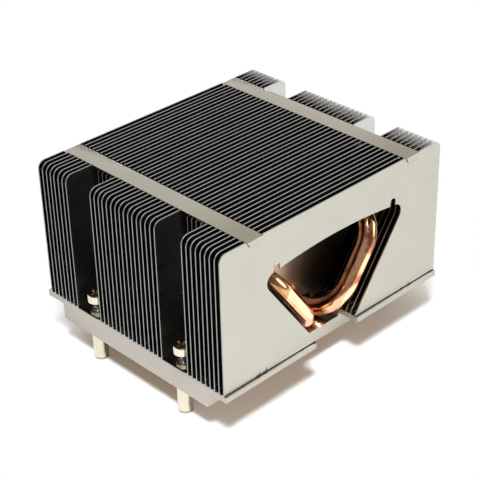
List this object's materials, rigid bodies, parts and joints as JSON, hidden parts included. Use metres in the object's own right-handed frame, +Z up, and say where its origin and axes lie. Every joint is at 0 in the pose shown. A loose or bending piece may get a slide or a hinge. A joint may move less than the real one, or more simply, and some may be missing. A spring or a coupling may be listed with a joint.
{
  "type": "passive processor heatsink",
  "caption": "Passive server processor heatsink: bent sheet fins on a machined base, slanted copper heat pipes in a windowed front, straps on top, captive spring screws.",
  "frame": {"origin": "centre of the contact plate's lower face, midway between the four screws", "axes": "+X across the fins, +Y along the stack from the windowed front to the rear, +Z up, away from the processor"},
  "size_m": [0.1094, 0.0966, 0.0746],
  "materials": {
    "fin_aluminium": "satin sheet",
    "base_aluminium": "milled",
    "copper": "drawn copper, semi-bright",
    "strap_steel": "brushed",
    "plated_steel": "nickel plated",
    "spring_steel": "bright wire"
  },
  "bodies": {
    "heatsink": {"base_plate": "base_aluminium", "contact_plate": "copper", "fin_01": "fin_aluminium", "fin_02": "fin_aluminium", "fin_03": "fin_aluminium", "fin_04": "fin_aluminium", "fin_05": "fin_aluminium", "fin_06": "fin_aluminium", "fin_07": "fin_aluminium", "fin_08": "fin_aluminium", "fin_09": "fin_aluminium", "fin_10": "fin_aluminium", "fin_11": "fin_aluminium", "fin_12": "fin_aluminium", "fin_13": "fin_aluminium", "fin_14": "fin_aluminium", "fin_15": "fin_aluminium", "fin_16": "fin_aluminium", "fin_17": "fin_aluminium", "fin_18": "fin_aluminium", "fin_19": "fin_aluminium", "fin_20": "fin_aluminium", "fin_21": "fin_aluminium", "fin_22": "fin_aluminium", "fin_23": "fin_aluminium", "fin_24": "fin_aluminium", "fin_25": "fin_aluminium", "fin_26": "fin_aluminium", "fin_27": "fin_aluminium", "fin_28": "fin_aluminium", "fin_29": "fin_aluminium", "fin_30": "fin_aluminium", "fin_31": "fin_aluminium", "fin_32": "fin_aluminium", "fin_33": "fin_aluminium", "fin_34": "fin_aluminium", "fin_35": "fin_aluminium", "fin_36": "fin_aluminium", "fin_37": "fin_aluminium", "fin_38": "fin_aluminium", "fin_39": "fin_aluminium", "fin_40": "fin_aluminium", "fin_41": "fin_aluminium", "fin_42": "fin_aluminium", "fin_43": "fin_aluminium", "heat_pipe_left": "copper", "heat_pipe_right": "copper", "spring_front_left": "spring_steel", "spring_front_right": "spring_steel", "spring_rear_left": "spring_steel", "spring_rear_right": "spring_steel", "standoffs": "plated_steel", "strap_left": "strap_steel", "strap_right": "strap_steel"},
    "front_left_screw": {"screw_front_left": "plated_steel"},
    "front_right_screw": {"screw_front_right": "plated_steel"},
    "rear_left_screw": {"screw_rear_left": "plated_steel"},
    "rear_right_screw": {"screw_rear_right": "plated_steel"}
  },
  "joints": [
    {"name": "press_front_left", "type": "slide", "parent": "heatsink", "child": "front_left_screw", "axis": [0, 0, -1], "range_m": [0, 0.002], "stiffness_N_per_m": 6000, "springref_m": -0.0015, "deforming": ["spring_front_left"]},
    {"name": "press_front_right", "type": "slide", "parent": "heatsink", "child": "front_right_screw", "axis": [0, 0, -1], "range_m": [0, 0.002], "stiffness_N_per_m": 6000, "springref_m": -0.0015, "deforming": ["spring_front_right"]},
    {"name": "press_rear_left", "type": "slide", "parent": "heatsink", "child": "rear_left_screw", "axis": [0, 0, -1], "range_m": [0, 0.002], "stiffness_N_per_m": 6000, "springref_m": -0.0015, "deforming": ["spring_rear_left"]},
    {"name": "press_rear_right", "type": "slide", "parent": "heatsink", "child": "rear_right_screw", "axis": [0, 0, -1], "range_m": [0, 0.002], "stiffness_N_per_m": 6000, "springref_m": -0.0015, "deforming": ["spring_rear_right"]}
  ]
}
